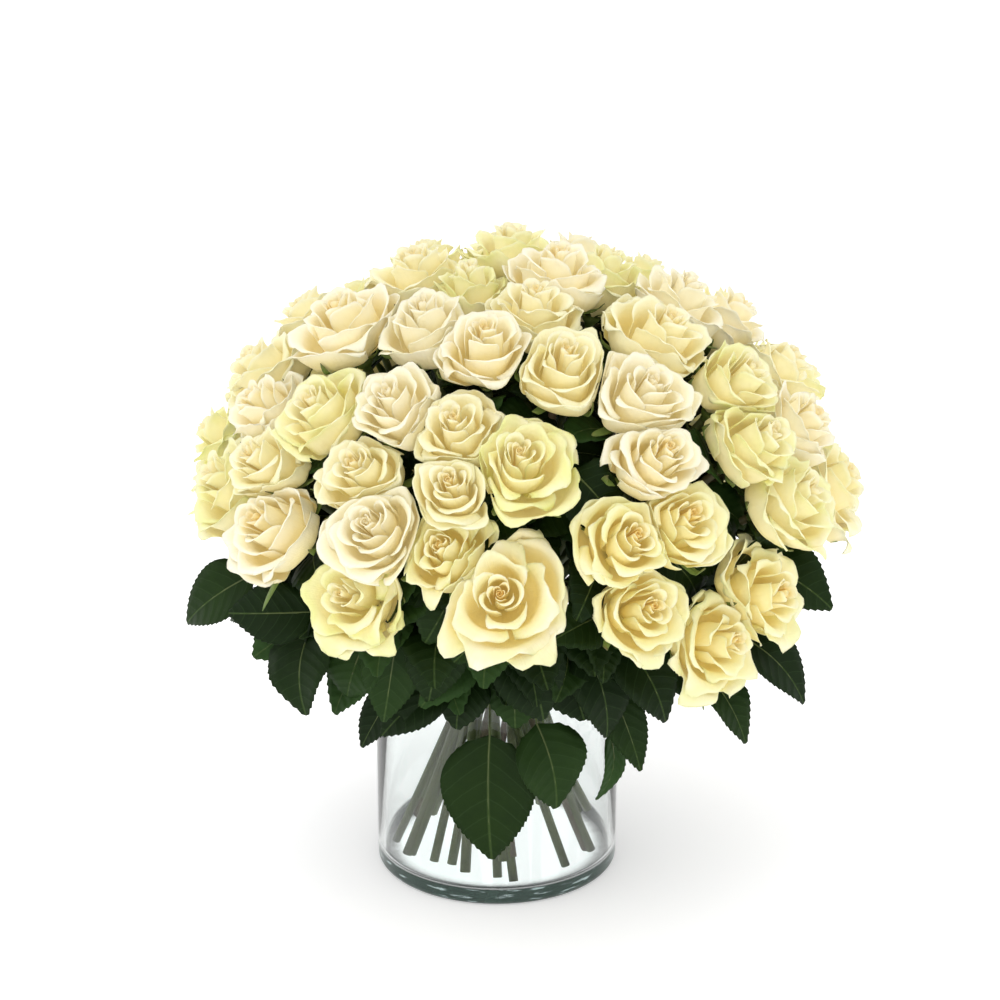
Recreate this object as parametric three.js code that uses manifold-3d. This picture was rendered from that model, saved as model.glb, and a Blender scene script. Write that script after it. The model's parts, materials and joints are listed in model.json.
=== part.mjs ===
// Floral table centerpiece: a round dome of cream roses in a clear glass cylinder vase.
// Millimetres, +Z up. The origin is the middle of the vase's underside. The front faces -Y.
import * as THREE from 'three';
import { mergeVertices } from 'three/addons/utils/BufferGeometryUtils.js';
import Module from 'manifold-3d';

const wasm = await Module();
wasm.setup();

// ---- driving dimensions ----------------------------------------------------------------

const VASE = { radius: 95, height: 170, wall: 4.5, floor: 12, foot: 6, lip: 1.5, inside: 4, sides: 30 };

// The heart of every bloom lies on this ellipsoid. The back is a little flatter than the front.
const DOME = { centre: new THREE.Vector3(20, 0, 305), wide: 255, front: 225, back: 195, tall: 203 };

// All stems pass through the waist, just above the rim, gathered into a tight sheaf. `lean` is how
// much of its foot's distance from the axis a stem already has there.
const WAIST = new THREE.Vector3(5, 0, 190);
const SHEAF = {
  radius: 27, belly: 24, below: 17, shoulder: 12, crown: 25, crownRadius: 19, top: 31, lean: 0.22, sides: 10,
};

// Every stem reaches its bloom, and every third one is followed down to the vase's floor.
const STEM = {
  radius: 3.1, sides: 5, sidesAbove: 4, calyxRadius: 7, calyxDepth: 9, root: 21,
  footReach: 83, footSpread: 0.28, footEvery: 3,
};

// A bloom's height, its half width as a part of its stated width, which its neighbours then press
// in, the part of its height where its middle lies, and how uneven its petals are.
const BLOOM = { height: 55, spread: 0.62, middle: 0.6, uneven: 0.1, softness: 6 };
const LEAF = { thickness: 0.9, fold: 0.16, arch: 0.12, stalk: 2.6, overRim: 6, lookUp: 0.6 };

const CLEAR = 0.35;        // gap between pieces that touch
const PRESSED = 4;         // how far the blooms of one cluster are pressed into each other
const NEARBY = 2.6;        // blooms further apart than this many bloom heights don't meet
const SEED = { petal: 31, layer: 7, cut: 0.5, skirt: 200, gap: 300 };

// ---- where everything stands -----------------------------------------------------------

// One row for each bloom: bearing from the front towards +X and lift above the dome's equator,
// in degrees, its width in millimetres, and how far it stands proud of the dome.
const FRONT_BLOOMS = [
  // lowest, over the rim
  [-49, 6, 76, 0], [-29, -6, 70, 0], [-26, 10, 76, 3], [-13, 8, 66, -10], [-4, -1, 86, 6],
  [18, 11, 72, 3], [29, 14, 70, -3], [19, -6, 70, 0], [46, -8, 72, 0], [35, -17, 70, 4],
  // middle
  [-70, 12, 68, 0], [-57, 20, 72, 0], [-32, 24, 72, -3], [-13, 22, 66, 3], [-1, 28, 78, 2],
  [26, 27, 74, 3], [51, 26, 72, 2], [58, 12, 74, 0], [70, 25, 70, 0],
  // upper
  [-84, 35, 66, 0], [-66, 30, 66, 0], [-47, 34, 76, 0], [-29, 38, 74, 2], [-14, 35, 72, -2],
  [10, 49, 74, 2], [28, 41, 82, 0], [57, 39, 72, 0], [85, 35, 68, -3],
  // crown
  [-64, 53, 82, 4], [-36, 60, 72, -2], [-11, 54, 74, 2], [5, 67, 70, -4], [48, 55, 80, -4],
  [-82, 71, 70, 0], [-38, 75, 62, -6], [30, 78, 76, 2], [-153, 86, 72, 2], [90, 75, 66, -6],
  [124, 62, 66, -8], [79, 60, 66, -2], [98, 48, 70, -4],
];

// The blooms behind stand in clusters of two or three that are pressed together.
const BACK_CLUSTERS = [
  [[157, 64, 76, 0], [189, 63, 76, 0], [222, 63, 74, 0]],
  [[121, 42, 76, 0], [142, 45, 74, 0], [163, 42, 76, 0]],
  [[185, 44, 78, 0], [204, 42, 76, 0]],
  [[227, 44, 76, 0], [250, 44, 74, 0]],
  [[105, 26, 76, 0], [124, 22, 74, 0], [141, 25, 76, 0]],
  [[161, 22, 76, 0], [176, 25, 76, 0], [191, 22, 76, 0]],
  [[211, 24, 76, 0], [228, 21, 74, 0]],
  [[250, 23, 76, 0], [267, 15, 72, 0]],
  [[81, 8, 76, 0], [97, 5, 76, 0]],
  [[126, 3, 76, 0], [141, 1, 76, 0]],
  [[166, 1, 76, 0], [180, 4, 76, 0]],
  [[207, 2, 76, 0], [222, 0, 78, 0]],
  [[246, 1, 76, 0], [262, 4, 76, 0]],
];

// One row for each leaf: the blade's foot and its tip, each as bearing, distance from the vase's
// axis and height, and the blade's width.
const LEAVES = [
  // the skirt seen from the front, left to right
  [[-69, 192, 262], [-76, 238, 212], 46], [[-49, 178, 250], [-62, 222, 238], 42],
  [[-55, 168, 226], [-49, 190, 172], 56], [[-39, 152, 228], [-43, 156, 180], 40],
  [[-29, 146, 246], [-33, 150, 167], 40], [[-17, 140, 246], [-19, 146, 188], 40],
  [[-19, 112, 196], [-35, 142, 148], 44], [[-42, 110, 178], [-50, 130, 126], 28],
  [[-3, 101, 146], [-6, 106, 46], 64], [[6, 122, 232], [17, 140, 176], 50],
  [[30, 124, 224], [36, 140, 150], 42], [[37, 146, 232], [44, 180, 170], 44],
  [[42, 122, 186], [47, 150, 118], 30], [[16, 107, 156], [24, 120, 92], 50],
  [[56, 103, 128], [47, 109, 80], 20], [[51, 196, 206], [52, 229, 156], 34],
  [[60, 206, 226], [63, 254, 178], 42], [[72, 205, 268], [72, 262, 240], 46],
];

// The skirt behind, in two alternating heights, and the leaves that close the gaps under the blooms.
const SKIRT_BEHIND = {
  count: 13, from: 92, step: 15.5, radius: 168, height: 232, reach: 48, drop: 52, width: 50,
  lower: 26, fall: 4, sway: 12,
};
const GAP_LEAVES = { every: 5, below: 40, aside: 10, reach: 50, rise: 8, width: 44 };

// ---- helpers ---------------------------------------------------------------------------

const TURN = 2 * Math.PI;
const radians = THREE.MathUtils.degToRad;

// The same number between 0 and 1 for the same seed, every time.
function chance(seed) {
  const wave = Math.sin(seed * 12.9898) * 43758.5453;
  return wave - Math.floor(wave);
}

function polar(bearing, distance, height) {
  const angle = radians(bearing);
  return new THREE.Vector3(distance * Math.sin(angle), -distance * Math.cos(angle), height);
}

// Where a leaf of the skirt looks: away from the vase's axis and somewhat up.
function outwards(place) {
  return new THREE.Vector3(place.x, place.y, 0).normalize().setZ(LEAF.lookUp);
}

// Any direction square to the given one.
function sideways(direction) {
  const up = Math.abs(direction.z) < 0.95 ? new THREE.Vector3(0, 0, 1) : new THREE.Vector3(1, 0, 0);
  return new THREE.Vector3().crossVectors(up, direction).normalize();
}

function solidFromMesh(points, triangles) {
  const vertProperties = new Float32Array(points.flatMap((p) => [p.x, p.y, p.z]));
  return new wasm.Manifold(new wasm.Mesh({ numProp: 3, vertProperties, triVerts: new Uint32Array(triangles) }));
}

function solidFromGeometry(geometry) {
  const bare = geometry.clone();
  bare.deleteAttribute('normal');
  bare.deleteAttribute('uv');
  const merged = mergeVertices(bare, 1e-4);
  return new wasm.Manifold(new wasm.Mesh({
    numProp: 3,
    vertProperties: new Float32Array(merged.attributes.position.array),
    triVerts: new Uint32Array(merged.index.array),
  }));
}

function geometryFromSolid(solid) {
  const mesh = solid.getMesh();
  const geometry = new THREE.BufferGeometry();
  geometry.setAttribute('position', new THREE.BufferAttribute(new Float32Array(mesh.vertProperties), 3));
  geometry.setIndex(new THREE.BufferAttribute(new Uint32Array(mesh.triVerts), 1));
  geometry.computeVertexNormals();
  return geometry;
}

function joined(solids) {
  return solids.reduce((whole, next) => whole.add(next));
}

// The outer skin of a solid, with the small hollows filled that joining may have sealed in it.
function filled(solid) {
  return solid.decompose().reduce((body, next) => (next.volume() > body.volume() ? next : body));
}

// Closes the band between two rings of points, which may have different numbers of them.
// Each ring is a list of [angle, index], counter-clockwise seen from the upper side.
function stitch(inner, outer, triangles) {
  const wrap = (ring, i) => ring[i % ring.length][0] + TURN * Math.floor(i / ring.length);
  const index = (ring, i) => ring[i % ring.length][1];
  let i = 0;
  let o = 0;
  while (i < inner.length || o < outer.length) {
    const takeOuter = i >= inner.length || (o < outer.length && wrap(outer, o + 1) <= wrap(inner, i + 1));
    if (takeOuter) {
      triangles.push(index(inner, i), index(outer, o), index(outer, o + 1));
      o += 1;
    } else {
      triangles.push(index(inner, i), index(outer, o), index(inner, i + 1));
      i += 1;
    }
  }
}

// A stack of rings, closed by a point at each end.
function solidFromRings(first, rings, last) {
  const points = [first];
  const triangles = [];
  const indexed = rings.map((ring) => ring.map(([angle, point]) => [angle, points.push(point) - 1]));
  const fan = (ring, centre, flip) => ring.forEach(([, a], k) => {
    const b = ring[(k + 1) % ring.length][1];
    triangles.push(centre, flip ? b : a, flip ? a : b);
  });
  fan(indexed[0], 0, false);
  for (let k = 1; k < indexed.length; k += 1) stitch(indexed[k - 1], indexed[k], triangles);
  fan(indexed.at(-1), points.push(last) - 1, true);
  return solidFromMesh(points, triangles);
}

// A straight or bent rod with a polygon section: stations are [centre, radius, normal of the section].
function rod(stations, sides) {
  const along = stations.at(-1)[0].clone().sub(stations[0][0]).normalize();
  const across = sideways(along);
  const rings = stations.map(([centre, radius, normal]) => {
    const square = normal ?? along;
    return Array.from({ length: sides }, (_, k) => {
      const angle = (TURN * k) / sides;
      const spoke = across.clone().applyAxisAngle(along, -angle).multiplyScalar(radius);
      const slip = spoke.dot(square) / along.dot(square);
      return [angle, centre.clone().add(spoke).addScaledVector(along, -slip)];
    });
  });
  return solidFromRings(stations[0][0], rings, stations.at(-1)[0]);
}

// ---- the vase --------------------------------------------------------------------------

function vaseGeometry() {
  const { radius, height, wall, floor, foot, lip, inside, sides } = VASE;
  const hollow = radius - wall;
  const corner = Math.SQRT1_2;
  const profile = [
    [0, 0], [radius - foot, 0], [radius - foot + foot * corner, foot * (1 - corner)], [radius, foot],
    [radius, height - lip], [radius - lip, height], [hollow + lip, height], [hollow, height - lip],
    [hollow, floor + inside], [hollow - inside, floor], [0, floor],
  ];
  return new THREE.LatheGeometry(profile.map(([x, y]) => new THREE.Vector2(x, y)), sides).rotateX(Math.PI / 2);
}

// ---- the blooms ------------------------------------------------------------------------

// The petals in their layers, from the heart outwards: how far out and how high each ring lies, as
// parts of the bloom's half width and height, its points, and how much every second point is drawn
// in and dropped to part one petal from the next.
const PETAL_RINGS = [
  { out: 0.13, up: 0.97, points: 5, notch: 0, drop: 0 },
  { out: 0.22, up: 0.84, points: 5, notch: 0, drop: 0 },
  { out: 0.44, up: 1.0, points: 6, notch: 0.12, drop: 0.05 },
  { out: 0.45, up: 0.8, points: 6, notch: 0, drop: 0 },
  { out: 0.76, up: 0.93, points: 10, notch: 0.14, drop: 0.07 },
  { out: 0.71, up: 0.69, points: 8, notch: 0, drop: 0 },
  { out: 1.04, up: 0.74, points: 10, notch: 0.2, drop: -0.06 },
  { out: 0.66, up: 0.42, points: 8, notch: 0, drop: 0 },
  { out: 0.2, up: 0, points: 5, notch: 0, drop: 0 },
];
const HEART_UP = 0.86;
const RING_TWIST = 0.55;

function placeBloom([bearing, lift, width, proud], number) {
  const side = radians(bearing);
  const rise = radians(lift);
  const depth = Math.cos(side) > 0 ? DOME.front : DOME.back;
  const heart = new THREE.Vector3(
    DOME.wide * Math.sin(side) * Math.cos(rise),
    -depth * Math.cos(side) * Math.cos(rise),
    DOME.tall * Math.sin(rise),
  ).add(DOME.centre);
  const axis = heart.clone().sub(WAIST).normalize();
  heart.addScaledVector(axis, proud);
  const foot = heart.clone().addScaledVector(axis, -BLOOM.height);
  const middle = foot.clone().addScaledVector(axis, BLOOM.height * BLOOM.middle);
  return { heart, axis, foot, middle, radius: width * BLOOM.spread, number };
}

// How far a bloom may reach from its axis in one direction before it meets a neighbour's space.
function roomFor(walls, start, outward) {
  return walls.reduce((room, { normal, offset }) => {
    const closing = normal.dot(outward);
    return closing > 0 ? Math.min(room, (offset - normal.dot(start)) / closing) : room;
  }, Infinity);
}

// The wished length where there is room, and always a little less than the room.
function softLimit(wish, room) {
  return wish / (1 + (wish / room) ** BLOOM.softness) ** (1 / BLOOM.softness);
}

// The walls between a bloom and the blooms around it.
function wallsAround(bloom, blooms, cluster) {
  return blooms
    .filter((other) => other !== bloom && other.middle.distanceTo(bloom.middle) < NEARBY * BLOOM.height)
    .map((other) => {
      const normal = other.middle.clone().sub(bloom.middle);
      const apart = normal.length();
      normal.normalize();
      const share = (1 + (bloom.radius - other.radius) / apart) / 2;
      const spare = cluster.includes(other) ? PRESSED : -CLEAR / 2;
      return { normal, offset: normal.dot(bloom.middle) + apart * share + spare };
    });
}

function bloomSolid(bloom, blooms, cluster) {
  const { axis, foot, radius, number } = bloom;
  const across = sideways(axis);
  const walls = wallsAround(bloom, blooms, cluster);
  const start = chance(number) * TURN;
  const rings = PETAL_RINGS.map(({ out, up, points, notch, drop }, layer) => {
    const first = (start + layer * RING_TWIST) % (TURN / points);
    return Array.from({ length: points }, (_, k) => {
      const angle = first + (TURN * k) / points;
      const between = k % 2;
      const uneven = 1 + BLOOM.uneven * (chance(number * SEED.petal + layer * SEED.layer + k) - 0.5);
      const spoke = across.clone().applyAxisAngle(axis, angle);
      const station = foot.clone().addScaledVector(axis, BLOOM.height * (up - drop * between));
      const wish = radius * out * (1 - notch * between) * uneven;
      const reach = softLimit(wish, roomFor(walls, station, spoke));
      return [angle, station.addScaledVector(spoke, reach)];
    });
  });
  return solidFromRings(foot.clone().addScaledVector(axis, BLOOM.height * HEART_UP), rings, foot);
}

// ---- stems and leaves ------------------------------------------------------------------

function sheafSolid() {
  const { radius, belly, below, shoulder, crown, crownRadius, top, sides } = SHEAF;
  const profile = [
    [0, -below], [radius, -below], [belly, 0], [radius, shoulder], [crownRadius, crown], [0, top],
  ];
  const lathe = new THREE.LatheGeometry(profile.map(([x, y]) => new THREE.Vector2(x, y)), sides);
  return solidFromGeometry(lathe.rotateX(Math.PI / 2).translate(WAIST.x, WAIST.y, WAIST.z));
}

// A stem runs straight from its bloom to the sheaf, and on to the vase's floor on the other side.
function stemSolids(bloom) {
  const { axis, foot, number } = bloom;
  const level = new THREE.Vector3(0, 0, 1);
  const top = foot.clone().addScaledVector(axis, -CLEAR);
  const neck = top.clone().addScaledVector(axis, -STEM.calyxDepth);
  const upper = rod([
    [WAIST.clone().addScaledVector(axis, STEM.root), STEM.radius],
    [neck, STEM.radius], [top, STEM.calyxRadius],
  ], STEM.sidesAbove);

  if (number % STEM.footEvery) return [upper];
  const floor = VASE.floor + CLEAR;
  const away = new THREE.Vector3(-axis.x, -axis.y, 0);
  const straight = (WAIST.z - floor) * (away.length() / axis.z);
  const furthest = STEM.footReach * (1 - STEM.footSpread * chance(number + SEED.cut));
  const cut = away.setLength(Math.min(straight, furthest)).setZ(floor);
  const start = WAIST.clone().add(new THREE.Vector3(cut.x, cut.y, 0).multiplyScalar(SHEAF.lean));
  const lower = rod([[cut, STEM.radius, level], [start, STEM.radius, level]], STEM.sides);
  return [upper, lower];
}

// Half of a blade's outline with its cut edge: parts of the length and of the half width. The stalk
// is the outline's first stretch, so a leaf and its stalk are one thin piece.
const BLADE_EDGE = [[0.02, 0.1], [0.3, 1], [0.37, 0.87], [0.63, 0.84], [0.69, 0.65]];
const BLADE_RIB = [0, 0.47];

// The place on the nearest stem where a leaf's stalk is rooted.
function rootOn(stems, place) {
  let root = null;
  for (const { start, end } of stems) {
    const near = new THREE.Line3(start, end).closestPointToPoint(place, true, new THREE.Vector3());
    if (!root || near.distanceTo(place) < root.distanceTo(place)) root = near;
  }
  return root;
}

// A thin arched leaf on its stalk. Its upper face looks along `facing`.
function leafSolid(foot, tip, width, facing, stems) {
  const along = tip.clone().sub(foot);
  const length = along.length();
  along.normalize();
  const upward = facing.clone().addScaledVector(along, -facing.dot(along)).normalize();
  const across = new THREE.Vector3().crossVectors(upward, along);
  const blade = (part, side) => foot.clone()
    .addScaledVector(along, part * length)
    .addScaledVector(across, side * width * 0.5)
    .addScaledVector(upward, LEAF.arch * length * 4 * part * (1 - part) + LEAF.fold * Math.abs(side) * width * 0.5);

  // the stalk: from inside the stem, and over the rim to a leaf that hangs outside the glass
  const hangs = foot.z < VASE.height + LEAF.overRim;
  const over = new THREE.Vector3(foot.x, foot.y, 0).setLength(VASE.radius + LEAF.overRim);
  over.z = VASE.height + LEAF.overRim;
  const root = rootOn(stems, hangs ? over : foot);
  const bends = hangs ? [root, over] : [root];
  const stalk = (place, side) => place.clone().addScaledVector(across, side * LEAF.stalk * 0.5);

  const edge = (side) => [
    ...bends.map((place) => stalk(place, side)),
    ...BLADE_EDGE.map(([part, half]) => blade(part, side * half)),
  ];
  const left = edge(-1);
  const right = edge(1);
  const rib = [...bends, ...BLADE_RIB.map((part) => blade(part, 0))];
  const edgeParts = [...bends.map((_, k) => k - bends.length), ...BLADE_EDGE.map(([part]) => part), 1];
  const ribParts = [...bends.map((_, k) => k - bends.length), ...BLADE_RIB, 1];
  const upper = [...left, ...right, ...rib, blade(1, 0)];
  const tipIndex = upper.length - 1;
  const leftIndex = [...left.keys(), tipIndex];
  const rightIndex = leftIndex.map((k) => (k === tipIndex ? k : k + left.length));
  const ribIndex = [...rib.map((_, k) => left.length + right.length + k), tipIndex];

  const faces = [];
  const fill = (side, flip) => {
    let e = 0;
    let r = 0;
    while (e < side.length - 1 || r < ribIndex.length - 1) {
      const nextEdge = edgeParts[e + 1] ?? Infinity;
      const nextRib = ribParts[r + 1] ?? Infinity;
      const moveEdge = nextEdge <= nextRib && side[e + 1] !== ribIndex[r];
      const third = moveEdge ? side[e + 1] : ribIndex[r + 1];
      const corners = [side[e], third, ribIndex[r]];
      if (new Set(corners).size === 3) faces.push(flip ? corners.reverse() : corners);
      if (moveEdge) e += 1;
      else r += 1;
    }
  };
  fill(leftIndex, false);
  fill(rightIndex, true);

  const count = upper.length;
  const lower = upper.map((point) => point.clone().addScaledVector(upward, -LEAF.thickness));
  const border = [...leftIndex, ...rightIndex.slice(0, -1).reverse(), ribIndex[0]];
  const triangles = faces.flatMap(([a, b, c]) => [a, b, c, a + count, c + count, b + count]);
  border.forEach((a, k) => {
    const b = border[(k + 1) % border.length];
    triangles.push(b, a, a + count, b, a + count, b + count);
  });
  return solidFromMesh([...upper, ...lower], triangles);
}

// ---- the whole piece -------------------------------------------------------------------

const finishes = {
  glass: new THREE.MeshStandardMaterial({
    color: 0xdce8e8, roughness: 0.05, metalness: 0, transparent: true, opacity: 0.35,
  }),
  petal: new THREE.MeshStandardMaterial({ color: 0xf6efcf, roughness: 0.6, metalness: 0 }),
  green: new THREE.MeshStandardMaterial({ color: 0x24432a, roughness: 0.45, metalness: 0 }),
};

const group = new THREE.Group();

function addMesh(name, geometry, finish) {
  const mesh = new THREE.Mesh(geometry, finish.clone());
  mesh.name = name;
  group.add(mesh);
}

addMesh('vase', vaseGeometry(), finishes.glass);

let number = 0;
const clusters = [...FRONT_BLOOMS.map((row) => [row]), ...BACK_CLUSTERS]
  .map((cluster) => cluster.map((row) => placeBloom(row, (number += 1))));
const blooms = clusters.flat();
clusters.forEach((cluster, k) => {
  const solid = filled(joined(cluster.map((bloom) => bloomSolid(bloom, blooms, cluster))));
  const name = cluster.length > 1 ? 'roses_' : 'rose_';
  addMesh(name + String(k + 1).padStart(2, '0'), geometryFromSolid(solid), finishes.petal);
});

const stems = blooms.map(({ foot, axis }) => ({
  start: WAIST.clone().addScaledVector(axis, STEM.root),
  end: foot.clone().addScaledVector(axis, -STEM.calyxDepth - CLEAR),
}));
const greens = [sheafSolid(), ...blooms.flatMap(stemSolids)];
for (const [footPlace, tipPlace, width] of LEAVES) {
  const foot = polar(...footPlace);
  const tip = polar(...tipPlace);
  greens.push(leafSolid(foot, tip, width, outwards(foot), stems));
}
for (let k = 0; k < SKIRT_BEHIND.count; k += 1) {
  const { from, step, radius, height, reach, drop, width, lower, fall, sway } = SKIRT_BEHIND;
  const bearing = from + k * step;
  const vary = sway * (chance(k + SEED.skirt) - 0.5);
  const odd = k % 2;
  const foot = polar(bearing, radius + vary, height - lower * odd);
  const tip = polar(bearing + vary, radius + reach, height - drop - (lower + fall) * odd);
  greens.push(leafSolid(foot, tip, width, outwards(foot), stems));
}
for (const bloom of blooms.filter((each) => each.number % GAP_LEAVES.every === 0)) {
  const { below, aside, reach, rise, width } = GAP_LEAVES;
  const side = sideways(bloom.axis).applyAxisAngle(bloom.axis, TURN * chance(bloom.number + SEED.gap));
  const foot = bloom.foot.clone().addScaledVector(bloom.axis, -below).addScaledVector(side, aside);
  const tip = foot.clone().addScaledVector(side, reach).addScaledVector(bloom.axis, rise);
  greens.push(leafSolid(foot, tip, width, bloom.axis, stems));
}
addMesh('leafy_stems', geometryFromSolid(filled(joined(greens))), finishes.green);

export default group;
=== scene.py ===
# %% [markdown]
# # A dome of cream roses in a glass cylinder
# The real piece is a hand-tied bunch: about seventy roses whose stems cross in one sheaf just above
# the rim of a clear glass vase, and splay out again below it. The heads press against each other
# and make a round dome, and a skirt of dark leaves hangs over the rim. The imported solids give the
# place of every head, stem and large leaf. This script puts the fine petals, leaves and glass
# there, and adds the small leaves that close the gaps.

import json
import math
from types import SimpleNamespace

import bmesh
import bpy
from mathutils import Matrix, Vector

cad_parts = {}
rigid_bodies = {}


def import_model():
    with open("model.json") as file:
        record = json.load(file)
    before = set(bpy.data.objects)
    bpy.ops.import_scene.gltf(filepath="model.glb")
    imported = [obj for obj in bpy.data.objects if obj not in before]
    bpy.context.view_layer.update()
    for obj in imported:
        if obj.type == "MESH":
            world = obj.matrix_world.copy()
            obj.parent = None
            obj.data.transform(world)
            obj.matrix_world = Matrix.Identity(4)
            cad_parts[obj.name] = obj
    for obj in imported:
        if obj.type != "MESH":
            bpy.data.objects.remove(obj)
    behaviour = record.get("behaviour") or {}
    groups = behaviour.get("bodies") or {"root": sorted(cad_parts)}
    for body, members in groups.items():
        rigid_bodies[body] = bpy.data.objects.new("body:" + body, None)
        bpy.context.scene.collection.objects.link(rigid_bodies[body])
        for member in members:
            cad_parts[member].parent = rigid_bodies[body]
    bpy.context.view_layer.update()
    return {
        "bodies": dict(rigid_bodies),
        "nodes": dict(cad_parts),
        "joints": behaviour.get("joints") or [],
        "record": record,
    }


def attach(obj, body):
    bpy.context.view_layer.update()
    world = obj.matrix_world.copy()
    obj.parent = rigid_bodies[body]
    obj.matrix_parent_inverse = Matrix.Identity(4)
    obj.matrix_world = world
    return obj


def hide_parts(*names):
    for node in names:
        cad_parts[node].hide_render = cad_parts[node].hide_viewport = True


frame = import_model()

# %% [markdown]
# ## Measures
# The heads and leaves are placed by rows of bearings and heights, as on the solids, so both agree
# on where each one is. Rows are in millimetres and degrees, and `MM` turns a length into metres.
# A bouquet is never regular, but it has to come out the same each time: `chance` gives the same
# number between 0 and 1 for the same seed.

# %% Units, chance and directions
MM = 0.001
TURN = 2 * math.pi
UP = Vector((0, 0, 1))


def chance(seed):
    wave = math.sin(seed * 12.9898) * 43758.5453
    return wave - math.floor(wave)


def between(low, high, seed):
    return low + (high - low) * chance(seed)


def ease(x):
    """0 before 0, 1 after 1, and a smooth rise between them."""
    x = min(1.0, max(0.0, x))
    return x * x * (3 - 2 * x)


def polar(bearing, distance, height):
    """A place by its bearing from the front, its distance from the vase's axis and its height."""
    angle = math.radians(bearing)
    return Vector((distance * math.sin(angle), -distance * math.cos(angle), height)) * MM


def sideways(direction):
    """Any direction square to the given one."""
    up = UP if abs(direction.z) < 0.95 else Vector((1, 0, 0))
    return up.cross(direction).normalized()


# %% [markdown]
# ## Camera, table and light
# The photograph was taken from a little above with a long lens, on a white sweep under soft light
# that comes mostly from above and the left. A large white plane, a white sky and one wide lamp do
# that: the lamp is a sun with a large angle, so the sweep is lit evenly and shadows stay soft. The
# plane glows a little, as a sheet lit from below does, which keeps its shadow faint.

# %% The camera, at the photograph's angle
CAMERA_PLACE = (0.0024, -1.812, 0.903)
CAMERA_TILT = 71.5
LENS = 90
SENSOR = 36

camera_data = bpy.data.cameras.new("camera")
camera_data.lens = LENS
camera_data.sensor_width = SENSOR
camera = bpy.data.objects.new("camera", camera_data)
camera.location = CAMERA_PLACE
camera.rotation_euler = (math.radians(CAMERA_TILT), 0, 0)
bpy.context.scene.collection.objects.link(camera)
bpy.context.scene.camera = camera


# %% The floor and the lamps
def new_object(name, bm, material=None, smooth=True):
    """Turns a bmesh into an object at the origin, with its place in its mesh."""
    mesh = bpy.data.meshes.new(name)
    bm.to_mesh(mesh)
    bm.free()
    if smooth:
        mesh.shade_smooth()
    if material:
        mesh.materials.append(material)
    piece = bpy.data.objects.new(name, mesh)
    bpy.context.scene.collection.objects.link(piece)
    return piece


def numbered(*names):
    """A new bmesh whose points carry one number under each of these names."""
    bm = bmesh.new()
    for name in names:
        bm.verts.layers.float.new(name)
    return bm


def thicken(piece, thickness):
    """Gives a sheet its thickness, half of it on each side."""
    modifier = piece.modifiers.new("thickness", "SOLIDIFY")
    modifier.thickness = thickness
    modifier.offset = 0


MATT = 0.9


def glowing_white(name, albedo, glow):
    material = bpy.data.materials.new(name)
    material.use_nodes = True
    shader = material.node_tree.nodes["Principled BSDF"]
    shader.inputs["Base Color"].default_value = (albedo, albedo, albedo, 1)
    shader.inputs["Roughness"].default_value = MATT
    shader.inputs["Emission Color"].default_value = (1, 1, 1, 1)
    shader.inputs["Emission Strength"].default_value = glow
    return material


FLOOR_SIZE = 40
FLOOR_WHITE = 0.93
FLOOR_GLOW = 0.34
bm = bmesh.new()
bmesh.ops.create_grid(bm, x_segments=1, y_segments=1, size=FLOOR_SIZE / 2)
floor = new_object("floor", bm, glowing_white("white_sweep", FLOOR_WHITE, FLOOR_GLOW))

SUN_FROM = Vector((-0.42, -0.38, 1.0))
SUN_STRENGTH = 0.46
SUN_ANGLE = 50
SKY_STRENGTH = 1.0

sun = bpy.data.lights.new("key", "SUN")
sun.energy = SUN_STRENGTH
sun.angle = math.radians(SUN_ANGLE)
sun_holder = bpy.data.objects.new("key", sun)
sun_holder.rotation_euler = SUN_FROM.to_track_quat("Z", "Y").to_euler()
bpy.context.scene.collection.objects.link(sun_holder)

world = bpy.data.worlds.new("studio")
world.use_nodes = True
world.node_tree.nodes["Background"].inputs["Color"].default_value = (1, 1, 1, 1)
world.node_tree.nodes["Background"].inputs["Strength"].default_value = SKY_STRENGTH
bpy.context.scene.world = world
bpy.context.scene.view_settings.view_transform = "Standard"
print("light: one wide soft lamp and a white sky")
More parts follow.
